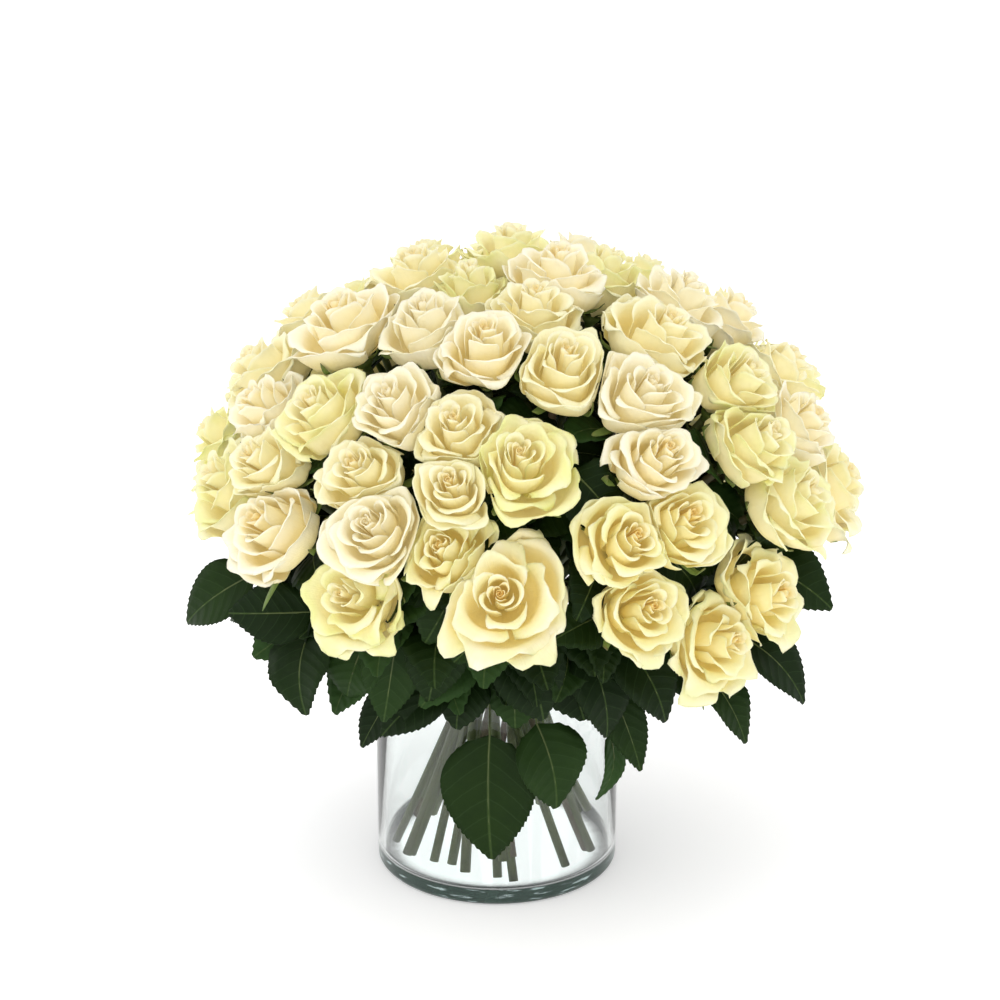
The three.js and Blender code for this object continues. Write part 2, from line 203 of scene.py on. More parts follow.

# %% [markdown]
# ## Finishes
# A petal's colour is not even: it is cream on the cup, and pale or greenish at the lip.
# Deep in the head, where the petals are rooted and in the rolled heart, it is deep yellow:
# partly the rose's own colour and partly painted warm glow, for the light that passes
# through and between the petals into the shaded gaps. Every petal carries six numbers for
# this, from which the material is mixed: how far along and across the petal a point lies,
# how far out in the head the petal grew, and then how warm, how green and how rosy the
# whole head is.


# %% A short way to write node trees
class Mixer:
    """Adds nodes to a material. Each call returns the new node's output."""

    def __init__(self, name):
        self.material = bpy.data.materials.new(name)
        self.material.use_nodes = True
        self.tree = self.material.node_tree
        self.shader = self.tree.nodes["Principled BSDF"]

    def node(self, kind, inputs, **settings):
        node = self.tree.nodes.new(kind)
        for key, value in settings.items():
            setattr(node, key, value)
        for key, value in inputs.items():
            self.feed(node.inputs[key], value)
        return node

    def feed(self, socket, value):
        if isinstance(value, bpy.types.NodeSocket):
            self.tree.links.new(value, socket)
        elif isinstance(value, tuple) and len(value) == 3 and socket.type == "RGBA":
            socket.default_value = (*value, 1)
        else:
            socket.default_value = value

    def attribute(self, name):
        return self.node("ShaderNodeAttribute", {}, attribute_name=name).outputs["Fac"]

    def math(self, operation, *values):
        return self.node("ShaderNodeMath", dict(enumerate(values)), operation=operation).outputs[0]

    def times(self, first, second):
        return self.math("MULTIPLY", first, second)

    def ramp(self, value, low, high):
        """0 where value is under low, 1 over high, smooth between. It falls if low is higher."""
        inputs = {"Value": value, "From Min": low, "From Max": high}
        return self.node("ShaderNodeMapRange", inputs, interpolation_type="SMOOTHSTEP").outputs[0]

    def mix(self, share, first, second):
        node = self.node("ShaderNodeMix", {}, data_type="RGBA")
        self.feed(node.inputs[0], share)
        self.feed(node.inputs[6], first)
        self.feed(node.inputs[7], second)
        return node.outputs[2]

    def point(self, x, y, z):
        return self.node("ShaderNodeCombineXYZ", {"X": x, "Y": y, "Z": z}).outputs[0]

    def noise(self, vector, scale, detail=2.0):
        inputs = {"Vector": vector, "Scale": scale, "Detail": detail}
        return self.node("ShaderNodeTexNoise", inputs).outputs["Fac"]

    def place(self):
        return self.node("ShaderNodeTexCoord", {}).outputs["Object"]

    def stretched(self, vector, scale):
        return self.node("ShaderNodeMapping", {"Vector": vector, "Scale": scale}).outputs[0]

    def bump(self, height, strength, distance):
        inputs = {"Height": height, "Strength": strength, "Distance": distance}
        self.feed(self.shader.inputs["Normal"], self.node("ShaderNodeBump", inputs).outputs[0])

    def set(self, **values):
        for key, value in values.items():
            self.feed(self.shader.inputs[key.replace("_", " ")], value)


# %% [markdown]
# From root to lip and from heart to outside, one colour is laid over another, each where its ramp
# of those numbers is high. In the photograph the light also comes through the petals from behind,
# and their shaded sides are warm. Thin sheets don't do that well, so the petals glow very little in
# their own colour.

# %% The petals' colours
PETAL_GLOW = 0.075
LIGHT_WANDERS = (0.003, 0.003, 0.003)       # metres inside a petal, for red, green and blue
CREAMS = {
    "cup": (0.96, 0.89, 0.54), "rosy cup": (0.97, 0.89, 0.66), "warm cup": (0.97, 0.85, 0.42),
    "outside": (0.96, 0.90, 0.56), "rosy outside": (0.97, 0.91, 0.73),
    # root, heart and core: partly the petals' own deeper yellow, partly painted warm glow of the
    # shaded depths
    "root": (0.97, 0.79, 0.28), "heart": (0.97, 0.73, 0.22), "core": (0.94, 0.60, 0.10),
    "lip": (0.97, 0.95, 0.68), "rosy lip": (0.98, 0.95, 0.80),
    "green tinge": (0.80, 0.83, 0.27), "dry rim": (0.62, 0.58, 0.20), "vein": (0.92, 0.78, 0.36),
}
BLOTCHES, DRY_SPOTS, CRUMPLES, VEINS = 45.0, 130.0, 95.0, 22.0      # how fine each pattern is


def petal_cream(m, along, layer, warm, rosy):
    """From the golden heart and cup to the pale outside, and from the root to the pale lip."""
    cup = m.mix(rosy, CREAMS["cup"], CREAMS["rosy cup"])
    cup = m.mix(warm, cup, CREAMS["warm cup"])
    outside = m.mix(rosy, CREAMS["outside"], CREAMS["rosy outside"])
    cream = m.mix(m.ramp(layer, 0.3, 0.85), cup, outside)
    # the deep yellow at the root, in the heart and in the core is partly painted warm glow of the
    # shaded depths
    root = m.times(m.ramp(along, 0.95, 0.3), m.math("MULTIPLY_ADD", warm, 0.4, 0.4))
    cream = m.mix(root, cream, CREAMS["root"])
    heart = m.times(m.ramp(layer, 0.50, 0.10), m.math("MULTIPLY_ADD", warm, 0.65, 0.20))
    cream = m.mix(heart, cream, CREAMS["heart"])
    core = m.times(m.ramp(layer, 0.26, 0.0), m.ramp(warm, 0.0, 0.9))
    cream = m.mix(core, cream, CREAMS["core"])
    outermost = m.math("MULTIPLY_ADD", m.ramp(layer, 0.0, 0.5), 0.45, 0.15)
    lip = m.times(m.ramp(along, 0.84, 1.0), outermost)
    return m.mix(lip, cream, m.mix(rosy, CREAMS["lip"], CREAMS["rosy lip"]))


def petal_edges(m, cream, along, across, layer, green):
    """A green tinge in blotches at the edges, and a thin rim that is dry and darker in places."""
    blotch = m.noise(m.place(), BLOTCHES)
    tinge = m.times(m.math("MULTIPLY_ADD", green, 0.75, 0.12), m.ramp(layer, 0.15, 0.85))
    tinge = m.times(tinge, m.ramp(blotch, 0.25, 0.65))
    sides = m.ramp(m.math("ABSOLUTE", across), 0.55, 1.0)
    edges = m.math("MAXIMUM", m.ramp(along, 0.5, 1.0), sides)
    cream = m.mix(m.times(tinge, edges), cream, CREAMS["green tinge"])
    rim = m.times(m.ramp(along, 0.965, 1.0), m.ramp(layer, 0.55, 0.95))
    rim = m.times(rim, m.ramp(m.noise(m.place(), DRY_SPOTS), 0.42, 0.60))
    return m.mix(m.times(rim, 0.55), cream, CREAMS["dry rim"])


# %% The petals' finish
def petal_finish():
    m = Mixer("petal_satin")
    along, across, layer = m.attribute("along"), m.attribute("across"), m.attribute("layer")
    warm, green, rosy = m.attribute("warm"), m.attribute("green"), m.attribute("rosy")
    cream = petal_cream(m, along, layer, warm, rosy)
    cream = petal_edges(m, cream, along, across, layer, green)
    # fine veins that run from root to lip
    lines = m.noise(m.point(m.times(across, VEINS), along, layer), 2.2, 3.0)
    veined = m.mix(m.times(m.ramp(lines, 0.45, 0.75), 0.14), cream, CREAMS["vein"])
    m.set(Base_Color=veined, Roughness=m.math("MULTIPLY_ADD", lines, 0.15, 0.45))
    m.set(Subsurface_Weight=0.3, Subsurface_Radius=LIGHT_WANDERS, Subsurface_Scale=1.0)
    m.set(Emission_Color=veined, Emission_Strength=PETAL_GLOW)
    m.set(Specular_IOR_Level=0.3, Sheen_Weight=0.08, Sheen_Roughness=0.4)
    crumple = m.noise(m.place(), CRUMPLES, 3.0)
    m.bump(m.math("MULTIPLY_ADD", crumple, 4.0, lines), 0.5, 0.0006)
    return m.material


petal_satin = petal_finish()


# %% [markdown]
# The leaves are a dark, waxy green. Their veins rise from the midrib to the teeth in a curve: a
# saw-tooth of `along` less that rise makes one thin pale line for each vein, and the same lines
# raise the surface between them.


# %% The leaves' finish
GREENS = {
    "leaf": (0.008, 0.022, 0.004), "leaf spot": (0.017, 0.040, 0.006),
    "young leaf": (0.026, 0.064, 0.014), "old leaf": (0.004, 0.011, 0.003),
    "vein": (0.045, 0.085, 0.030), "midrib": (0.065, 0.110, 0.030),
    "stem": (0.050, 0.076, 0.016), "stem streak": (0.118, 0.150, 0.044),
    "brown stem": (0.13, 0.088, 0.060),
    "sepal": (0.10, 0.17, 0.035), "sepal spot": (0.20, 0.29, 0.075),
    "sepal tip": (0.16, 0.13, 0.05),
}
VEINS_OF_A_LEAF = 7.0


def leaf_finish():
    m = Mixer("leaf_wax")
    along, across = m.attribute("along"), m.math("ABSOLUTE", m.attribute("across"))
    tone = m.attribute("tone")
    rise = m.times(across, m.math("MULTIPLY_ADD", across, 0.12, 0.15))
    mottle = m.noise(m.place(), 60.0, 3.0)
    slanted = m.math("MULTIPLY_ADD", mottle, 0.03, m.math("SUBTRACT", along, rise))
    saw = m.math("FRACT", m.times(slanted, VEINS_OF_A_LEAF))
    beside = m.math("ABSOLUTE", m.math("SUBTRACT", saw, 0.5))
    vein, midrib = m.ramp(beside, 0.06, 0.0), m.ramp(across, 0.045, 0.01)
    green = m.mix(mottle, GREENS["leaf"], GREENS["leaf spot"])
    green = m.mix(m.ramp(tone, 0.55, 1.0), green, GREENS["young leaf"])
    green = m.mix(m.times(m.ramp(tone, 0.5, 0.2), 0.6), green, GREENS["old leaf"])
    green = m.mix(m.times(vein, 0.25), green, GREENS["vein"])
    green = m.mix(m.times(midrib, 0.5), green, GREENS["midrib"])
    m.set(Base_Color=green, Roughness=m.math("MULTIPLY_ADD", mottle, 0.2, 0.42))
    m.set(Specular_IOR_Level=0.10)
    between_veins = m.ramp(m.math("SUBTRACT", 0.5, beside), 0.0, 0.5)
    quilt = m.math("SUBTRACT", between_veins, m.times(midrib, 1.5))
    m.bump(m.math("MULTIPLY_ADD", mottle, 2.5, quilt), 0.4, 0.0008)
    return m.material


# %% The finishes of stems and sepals
STREAKS = (300, 300, 25)        # a pattern that is drawn out upwards


def stem_finish():
    m = Mixer("stem_skin")
    place, tone = m.place(), m.attribute("tone")
    streak = m.noise(m.stretched(place, STREAKS), 1.0)
    green = m.mix(streak, GREENS["stem"], GREENS["stem streak"])
    green = m.mix(m.ramp(tone, 0.6, 0.95), green, GREENS["brown stem"])
    m.set(Base_Color=green, Roughness=m.math("MULTIPLY_ADD", streak, 0.2, 0.38))
    m.set(Specular_IOR_Level=0.4)
    m.bump(streak, 0.4, 0.0004)
    return m.material


def sepal_finish():
    m = Mixer("sepal_green")
    along, tone = m.attribute("along"), m.attribute("tone")
    blotch = m.noise(m.place(), 120.0)
    green = m.mix(blotch, GREENS["sepal"], GREENS["sepal spot"])
    green = m.mix(m.times(m.ramp(along, 0.6, 1.0), tone), green, GREENS["sepal tip"])
    m.set(Base_Color=green, Roughness=m.math("MULTIPLY_ADD", blotch, 0.2, 0.45))
    m.bump(blotch, 0.3, 0.0005)
    return m.material


leaf_wax, stem_skin, sepal_green = leaf_finish(), stem_finish(), sepal_finish()


# %% [markdown]
# The glass is clear, but through the foot one looks along thick glass and into its dark edge, with
# a few bright glints. The outer part of the foot is painted near-black for this: painted shade and
# dark reflection, with painted glints in a noise that is drawn out round the vase, and its
# reflection is turned down there. Light that only passes through on its way to the floor isn't
# refracted: for shadow rays the glass is plainly transparent, which keeps the shadow clean and
# pale.

# %% The glass
# where the outer part of the foot is painted near-black, as painted shade and dark reflection
FOOT_SHADE_TOP = 0.018
FOOT_SHADE_FADES = 0.004     # over this height, in metres
FOOT_SHADE_FROM = 0.074      # from here outwards, in metres from the axis, the foot darkens
FOOT_SHADE_FULL = 0.090
PAINTED_GLINTS = (55, 55, 420)
# in the foot: painted shade and dark reflection, and painted glints as highlights
GLASS = {
    "clear": (0.955, 0.985, 0.98), "clearer": (0.965, 0.99, 0.985),
    "foot": (0.001, 0.003, 0.002), "painted_glint": (0.16, 0.25, 0.24), "in shadows": (0.93, 0.97, 0.96),
}
GLASS_BENDS = 1.42


def glass_finish():
    m = Mixer("clear_glass")
    place = m.place()
    waver = m.noise(place, 14.0, 1.0)
    x, y, height = m.node("ShaderNodeSeparateXYZ", {"Vector": place}).outputs
    flat = m.point(x, y, 0.0)
    reach = m.node("ShaderNodeVectorMath", {0: flat}, operation="LENGTH").outputs["Value"]
    # the foot's painted shade, with painted glints in it, and less reflection there
    low = m.ramp(height, FOOT_SHADE_TOP, FOOT_SHADE_TOP - FOOT_SHADE_FADES)
    foot = m.times(low, m.ramp(reach, FOOT_SHADE_FROM, FOOT_SHADE_FULL))
    clear = m.mix(waver, GLASS["clear"], GLASS["clearer"])
    painted_glint = m.noise(m.stretched(place, PAINTED_GLINTS), 1.0, 3.0)
    foot_shade = m.mix(m.ramp(painted_glint, 0.58, 0.72), GLASS["foot"], GLASS["painted_glint"])
    m.set(Base_Color=m.mix(foot, clear, foot_shade), Roughness=0.0, IOR=GLASS_BENDS)
    m.set(Transmission_Weight=1.0, Specular_IOR_Level=m.math("MULTIPLY_ADD", foot, -0.48, 0.5))
    m.bump(waver, 0.05, 0.002)
    plain = m.node("ShaderNodeBsdfTransparent", {"Color": GLASS["in shadows"]}).outputs[0]
    is_shadow = m.node("ShaderNodeLightPath", {}).outputs["Is Shadow Ray"]
    both = m.node("ShaderNodeMixShader", {0: is_shadow, 1: m.shader.outputs[0], 2: plain})
    m.feed(m.tree.nodes["Material Output"].inputs["Surface"], both.outputs[0])
    return m.material


clear_glass = glass_finish()
print("finishes:", ", ".join(each.name for each in bpy.data.materials))

# %% [markdown]
# ## The vase
# A blown glass cylinder has a thick floor and rounded edges everywhere. Half of its section is
# drawn once and spun round the axis.

# %% The vase
VASE = {"radius": 95, "height": 170, "wall": 4.5, "floor": 12, "foot": 6, "lip": 2.1, "inside": 5}
VASE_STEPS = 120
CORNER_STEPS = 7


def corner(centre, radius, start, end):
    """Points of an arc in the section, from one angle in degrees to another."""
    points = []
    for k in range(CORNER_STEPS + 1):
        angle = math.radians(start + (end - start) * k / CORNER_STEPS)
        points.append((centre[0] + radius * math.cos(angle), centre[1] + radius * math.sin(angle)))
    return points


def vase_section():
    radius, height, wall, floor_at, foot, lip, inside = VASE.values()
    hollow = radius - wall
    return [
        (0, 0),
        *corner((radius - foot, foot), foot, -90, 0),
        *corner((radius - lip, height - lip), lip, 0, 90),
        *corner((hollow + lip, height - lip), lip, 90, 180),
        *corner((hollow - inside, floor_at + inside), inside, 0, -90),
        (0, floor_at),
    ]


bm = bmesh.new()
section = [bm.verts.new((x * MM, 0, z * MM)) for x, z in vase_section()]
lines = [bm.edges.new(pair) for pair in zip(section, section[1:])]
bmesh.ops.spin(
    bm, geom=section + lines, cent=(0, 0, 0), axis=(0, 0, 1), angle=TURN, steps=VASE_STEPS,
    use_merge=True,
)
bmesh.ops.remove_doubles(bm, verts=bm.verts, dist=1e-6)
bmesh.ops.recalc_face_normals(bm, faces=bm.faces)
print("vase:", len(bm.faces), "faces")
vase = new_object("glass_cylinder", bm, clear_glass)
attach(vase, "root")
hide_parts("vase")

# %% [markdown]
# ## Where the heads are
# The heart of each rose lies on an ellipsoid, and its stem points at the waist, where all stems
# cross. The rows are those of the solids: bearing, lift, width, how far the head stands proud of
# the dome, and then what only the picture needs: the tone of the head and how far it has opened.
# Low in the front some rows were set closer to the photograph than the solids are, by 3 degrees
# at most, and some heads are a few millimetres narrower, so that the dark gaps show between them.

# %% The rows of heads
DOME_CENTRE = Vector((20, 0, 305)) * MM
DOME = {"wide": 255 * MM, "front": 225 * MM, "back": 195 * MM, "tall": 203 * MM}
WAIST = Vector((5, 0, 190)) * MM
HEAD_HEIGHT = 55 * MM
HEAD_SPREAD = 0.62          # the radius of a head that nothing presses, in parts of its width
HEAD_MIDDLE = 0.6           # the part of its height at which heads press each other
NEARBY = 2.6                # the heights of a head within which another is its neighbour
CLEAR = 0.35 * MM           # kept free on each side of a wall between heads
SOFTNESS = 6                # the higher, the later a petal gives way before a wall

# how warm, how green and how rosy each tone is
TONES = {
    "cream": (0.45, 0.15, 0.35),
    "white": (0.15, 0.05, 0.90),
    "peach": (0.60, 0.00, 1.00),
    "yellow": (1.00, 0.50, 0.00),
    "bright": (0.90, 0.60, 0.60),
    "green": (0.25, 0.80, 0.15),
    "lime": (0.35, 1.00, 0.00),
}

FRONT_HEADS = [
    # lowest, over the rim
    (-51, 8, 76, 0, "peach", 0.5), (-31, -3, 66, 0, "lime", 1.2), (-26, 12, 79, 7, "white", 0.7),
    (-14, 10, 68, -5, "yellow", 0.9), (-4, 0, 74, 6, "bright", 1.4), (18, 11, 67, 3, "yellow", 0.8),
    (29, 14, 70, -3, "yellow", 0.7), (21, -4, 59, 0, "yellow", 0.8), (49, -8, 66, 0, "yellow", 1.2),
    (38, -16, 60, 4, "yellow", 1.2),
    # middle
    (-70, 12, 68, 0, "green", 0.6), (-57, 20, 72, 0, "cream", 0.5), (-32, 24, 72, -3, "cream", 0.7),
    (-13, 22, 66, 3, "cream", 0.5), (-1, 28, 72, 2, "lime", 0.9), (26, 27, 74, 3, "peach", 0.7),
    (51, 26, 72, 2, "green", 0.8), (58, 12, 74, 0, "green", 0.7), (70, 25, 70, 0, "peach", 0.5),
    # upper
    (-84, 35, 66, 0, "cream", 0.6), (-66, 30, 66, 0, "peach", 0.6), (-47, 34, 76, 0, "green", 0.6),
    (-29, 38, 74, 2, "white", 0.7), (-14, 35, 72, -2, "cream", 0.8), (10, 49, 74, 2, "cream", 0.7),
    (28, 41, 82, 0, "white", 0.6), (57, 39, 72, 0, "green", 0.7), (85, 35, 68, -3, "cream", 0.7),
    # crown
    (-64, 53, 82, 4, "peach", 0.7), (-36, 60, 72, -2, "white", 0.6), (-11, 54, 74, 2, "peach", 0.8),
    (5, 67, 70, -4, "cream", 0.9), (48, 55, 80, -4, "cream", 0.9), (-82, 71, 70, 0, "cream", 0.6),
    (-38, 75, 62, -6, "green", 0.8), (30, 78, 76, 2, "peach", 0.8), (-153, 86, 72, 2, "green", 0.8),
    (90, 75, 66, -6, "green", 0.7), (124, 62, 66, -8, "green", 0.6), (79, 60, 66, -2, "white", 0.7),
    (98, 48, 70, -4, "peach", 0.7),
]

BACK_HEADS = [
    # a list for each cluster of the solids; their tones and how far they opened are left to chance
    [(157, 64, 76, 0), (189, 63, 76, 0), (222, 63, 74, 0)],
    [(121, 42, 76, 0), (142, 45, 74, 0), (163, 42, 76, 0)],
    [(185, 44, 78, 0), (204, 42, 76, 0)],
    [(227, 44, 76, 0), (250, 44, 74, 0)],
    [(105, 26, 76, 0), (124, 22, 74, 0), (141, 25, 76, 0)],
    [(161, 22, 76, 0), (176, 25, 76, 0), (191, 22, 76, 0)],
    [(211, 24, 76, 0), (228, 21, 74, 0)],
    [(250, 23, 76, 0), (267, 15, 72, 0)],
    [(81, 8, 76, 0), (97, 5, 76, 0)],
    [(126, 3, 76, 0), (141, 1, 76, 0)],
    [(166, 1, 76, 0), (180, 4, 76, 0)],
    [(207, 2, 76, 0), (222, 0, 78, 0)],
    [(246, 1, 76, 0), (262, 4, 76, 0)],
]


# %% One head: its place, its axis and its tone
class Head:
    """A head's heart, foot and axis, its radius and its tone."""

    def __init__(self, row, number):
        bearing, lift, width, proud = row[:4]
        side, rise = math.radians(bearing), math.radians(lift)
        depth = DOME["front"] if math.cos(side) > 0 else DOME["back"]
        heart = DOME_CENTRE + Vector((
            DOME["wide"] * math.sin(side) * math.cos(rise),
            -depth * math.cos(side) * math.cos(rise),
            DOME["tall"] * math.sin(rise),
        ))
        self.number = number
        self.axis = (heart - WAIST).normalized()
        self.heart = heart + self.axis * proud * MM
        self.foot = self.heart - self.axis * HEAD_HEIGHT
        self.middle = self.foot + self.axis * HEAD_HEIGHT * HEAD_MIDDLE
        self.radius = width * HEAD_SPREAD * MM
        self.across = sideways(self.axis)
        self.over = self.axis.cross(self.across)
        tones = list(TONES)
        any_tone = tones[int(chance(number + 0.3) * len(tones))]
        tone, self.open = row[4:] or (any_tone, between(0.5, 1, number))
        self.warm, self.green, self.rosy = TONES[tone]
        self.proud = proud

    def spoke(self, angle):
        """The direction square to the axis at this angle round it."""
        return self.across * math.cos(angle) + self.over * math.sin(angle)


clusters, heads = [], []
for rows in [[row] for row in FRONT_HEADS] + BACK_HEADS:
    clusters.append([Head(row, len(heads) + k + 1) for k, row in enumerate(rows)])
    heads += clusters[-1]
print("heads:", len(heads), "in", len(clusters), "pieces")

# %% [markdown]
# ## Room between the heads
# Heads in a tight bunch press each other where they touch. Halfway between each two heads stands a
# wall. It leans towards one of the two, so that the petals of the other pass over its lip. Every
# petal reaches as far as it wishes where there is room, and always stops a little before a wall, so
# no petal cuts through the next head. A head that is pressed on most sides stays small on the
# others too, because a rose opens evenly.


# %% The walls round a head
LEANING = 0.5
LEAN_OF_PROUD = 0.03        # for each millimetre that a head stands prouder than the other
ROUND_STEPS = 16
STAYS_ROUND = 1.17
LEAST_ROOM = 0.5 * MM
FACING_WALL = 0.05          # a petal that runs along a wall isn't stopped by it
PAIR_SEEDS = (7.3, 1.9)


def walls_around(head):
    walls = []
    for other in heads:
        toward = other.middle - head.middle
        apart = toward.length
        if other is head or apart > NEARBY * HEAD_HEIGHT:
            continue
        toward.normalize()
        low, high = sorted((head.number, other.number))
        seed = low * PAIR_SEEDS[0] + high * PAIR_SEEDS[1]
        tilt = between(-LEANING, LEANING, seed) * (1 if head.number == low else -1)
        tilt += LEAN_OF_PROUD * (head.proud - other.proud)
        normal = (toward - (head.axis + other.axis).normalized() * tilt).normalized()
        share = (1 + (head.radius - other.radius) / apart) / 2
        walls.append((normal, normal.dot(head.middle + toward * apart * share) - CLEAR))
    return walls


def room_at(start, outward, walls):
    room = 1.0
    for normal, offset in walls:
        closing = normal.dot(outward)
        if closing > FACING_WALL:
            room = min(room, (offset - normal.dot(start)) / closing)
    return max(room, LEAST_ROOM)


def squeezed(head, walls, height, angle, wish, full=0.0):
    """The point at this height and angle, as far from the head's axis as it wishes and may.

    Where the whole head would reach `full`, a petal inside it gives way as well."""
    start = head.foot + head.axis * height
    outward = head.spoke(angle)
    pressed = max(wish, (wish + full) / 2) / room_at(start, outward, walls)
    return start + outward * wish / (1 + pressed**SOFTNESS) ** (1 / SOFTNESS)


def even_reach(head, walls):
    """A head stays round: where it is pressed on most sides, it opens less on the others too."""
    spokes = [head.spoke(TURN * k / ROUND_STEPS) for k in range(ROUND_STEPS)]
    rooms = [min(room_at(head.middle, spoke, walls), head.radius) for spoke in spokes]
    return min(head.radius, STAYS_ROUND * sum(rooms) / ROUND_STEPS)


# %% [markdown]
# ## Petals
# A rose grows its petals one after another, each about 137 degrees further round, from a rolled
# heart outwards. So one loop makes the whole head: what changes from petal to petal is how far out
# it stands, how much of a turn it wraps, how high it reaches and how far its lip rolls back.
#
# Four shares between 0 and 1 say what kind of petal it is: `heart` for those rolled in the middle,
# `cup` for those round them, `outer` for those that open, and `guard` for the last and most torn.
# The tables say what each kind adds. Angles are in degrees, waves in millimetres, and the rest are
# parts of the head's radius or of the petal's height.

# %% What each kind of petal adds to its shape
GOLDEN_TURN = math.radians(137.5)
PETALS = 24
PETAL_THICK = 0.42 * MM
HEART, BUD, GUARDS = 0.25, 0.48, 0.78       # where along `grow` these kinds end or begin

WRAP = {"least": 64, "heart": 85, "outer": 2}
SPREAD = {"middle": 0.025, "outside": 0.815, "crowding": 1.2, "opened": 0.25}
DROOP = {"heart": 0.10, "outer": 0.34, "from": 0.42, "over": 0.58, "bend": 1.4, "uneven": 0.05}
LIP = {"least": 0.08, "cup": 0.06, "outer": 0.08, "opened": 0.15}
ROLL = {"least": 5, "cup": 57, "from": 0.13, "over": 0.35, "outer": 25, "opened": 50}
LEAN = {"outer": 0.14, "guard": 0.08, "inwards": 0.03}
FOOT = {"heart": 0.03, "outside": 0.1}
RUFFLE = {"least": 0.3, "outer": 2.3}
RAGGED = {"outer": 0.045, "guard": 0.055, "torn": 0.045}
SWELL = {"least": 0.3, "cup": 0.7}
GIVES_WAY = 0.9
PETAL_SEEDS = (41, 1.7)                     # from head to head, and from petal to petal


# %% The measures of one petal
def measures(head, grow, number):
    """The measures of a petal at `grow`, from 0 in the heart to 1 outermost."""
    seed = head.number * PETAL_SEEDS[0] + number * PETAL_SEEDS[1]
    size, opened = head.reach, head.open
    cup, outer, heart = ease(grow / BUD), ease((grow - BUD) / 0.35), ease(1 - grow / HEART)
    guard = ease((grow - GUARDS) / 0.15)
    p = SimpleNamespace(size=size, outer=outer, heart=heart)
    p.steps = (14, 8) if grow < BUD else (20, 10) if guard < 0.5 else (28, 10)

    p.turn = number * GOLDEN_TURN + chance(head.number) * TURN + between(-0.35, 0.35, seed)
    p.span = math.radians(WRAP["least"] + WRAP["heart"] * heart + WRAP["outer"] * outer)
    p.span *= between(0.86, 1.1, seed + 1)
    further_out = grow ** (SPREAD["crowding"] + SPREAD["opened"] * opened)
    p.radius = size * (SPREAD["middle"] + SPREAD["outside"] * further_out)
    p.radius *= between(0.96, 1.03, seed + 5)
    p.foot = size * (FOOT["heart"] + FOOT["outside"] * grow)

    droop = max(0, (grow - DROOP["from"]) / DROOP["over"]) ** DROOP["bend"]
    rise = 1 - DROOP["heart"] * heart - DROOP["outer"] * droop
    p.height = HEAD_HEIGHT * rise * (1 - DROOP["uneven"] * (1 - heart) * chance(seed + 2))
    opens = LIP["outer"] + LIP["opened"] * opened
    p.lip = p.height * (LIP["least"] + LIP["cup"] * cup + opens * outer)
    p.body = p.height - p.lip

    roll = ROLL["least"] + ROLL["cup"] * ease((grow - ROLL["from"]) / ROLL["over"])
    roll += (ROLL["outer"] + ROLL["opened"] * opened) * outer * between(0.5, 1.4, seed + 3)
    p.curl = math.radians(roll)
    lean = (LEAN["outer"] * outer + LEAN["guard"] * guard) * opened * between(0.1, 1.2, seed + 7)
    p.lean = size * (lean - LEAN["inwards"] * cup * (1 - outer))

    p.ruffle = (RUFFLE["least"] + RUFFLE["outer"] * outer * opened) * MM
    p.ragged = (RAGGED["outer"] * outer + RAGGED["guard"] * guard) * opened
    p.torn = RAGGED["torn"] * guard * opened
    p.phase, p.bias = between(0, TURN, seed + 4), between(-0.9, 0.9, seed + 8)
    p.slope = between(-0.07, 0.07, seed + 6) * (1 - heart + outer)
    p.point = between(0.0, 0.13, seed + 9) * outer
    p.loose = SWELL["least"] + SWELL["cup"] * cup
    return p


# %% [markdown]
# A petal starts as a flat grid: `u` runs across it from -1 to 1, and `v` up it from 0 to 1. Its
# edge is cut first, with low shoulders and notches: sines of different lengths, so that no two
# notches are alike. Then each point is lifted into place. It rises along the cup, which swells, and
# from where the lip begins it follows an arc outwards.

# %% Cutting the edge and lifting a point
EVEN_OUT = 0.72         # more rows of the grid near the lip


def cut_edge(p, u, v):
    """How far up the petal a point of the grid ends, once the edge is rounded and torn."""
    v = v**EVEN_OUT
    # the shoulders drop towards the sides, and least in the heart
    shoulder = (0.15 - 0.12 * p.heart - 0.07 * p.outer) * u * u
    shoulder += (0.15 - 0.11 * p.heart) * abs(u) ** 5
    # notches at the edge, and tears in the outermost petals
    notch = math.sin(7 * u + p.phase) + math.sin(12 * u + 3 * p.phase) * math.sin(4 * u + p.phase)
    tear = p.torn * math.sin(15 * u + 4 * p.phase) * math.sin(3.3 * u + p.phase)
    torn = (p.ragged * notch + tear) * v**4
    return v * (1 - shoulder + p.point * (1 - abs(u)) ** 2 - p.point + p.slope * u + torn)


def lift(p, u, v):
    """How far up, and how far out from the head's axis, a point of the petal stands."""
    rolls = p.body * (1 - 0.22 * p.outer * u * u)       # the sides roll back from lower down
    up_body = min(v * p.height, rolls)
    past = max(0.0, v * p.height - rolls) / p.lip
    bend = max(0.05, p.curl * (0.7 + 0.8 * abs(u) ** 1.5 * (1 + p.bias * u)))
    swell = ease(up_body / (0.6 * p.body))
    out = p.foot + (p.radius - p.foot) * swell + p.lean * (up_body / p.body) ** 2
    # one side laps over the next petal, and broad waves run over the sheet
    laps = 0.05 * u - 0.05 * u * u + 0.02 * math.sin(2.4 * u + 3 * v + p.phase)
    out += laps * p.size * swell * p.loose
    out += 0.012 * math.sin(6 * u + 2 * p.phase) * p.size * p.outer * v * v
    # the arc of the lip, and its ruffle
    out += p.lip / bend * (1 - math.cos(bend * past))
    out += p.ruffle * math.sin(5 * u + p.phase) * past
    up = up_body + p.lip / bend * math.sin(bend * past)
    wave = 0.8 * math.sin(7 * u + 2 * p.phase) + 0.5 * math.sin(15 * u + p.phase)
    up += p.ruffle * wave * past * past
    return up, out


# %% One petal
CLOSEST = 0.8 * MM      # to the head's axis


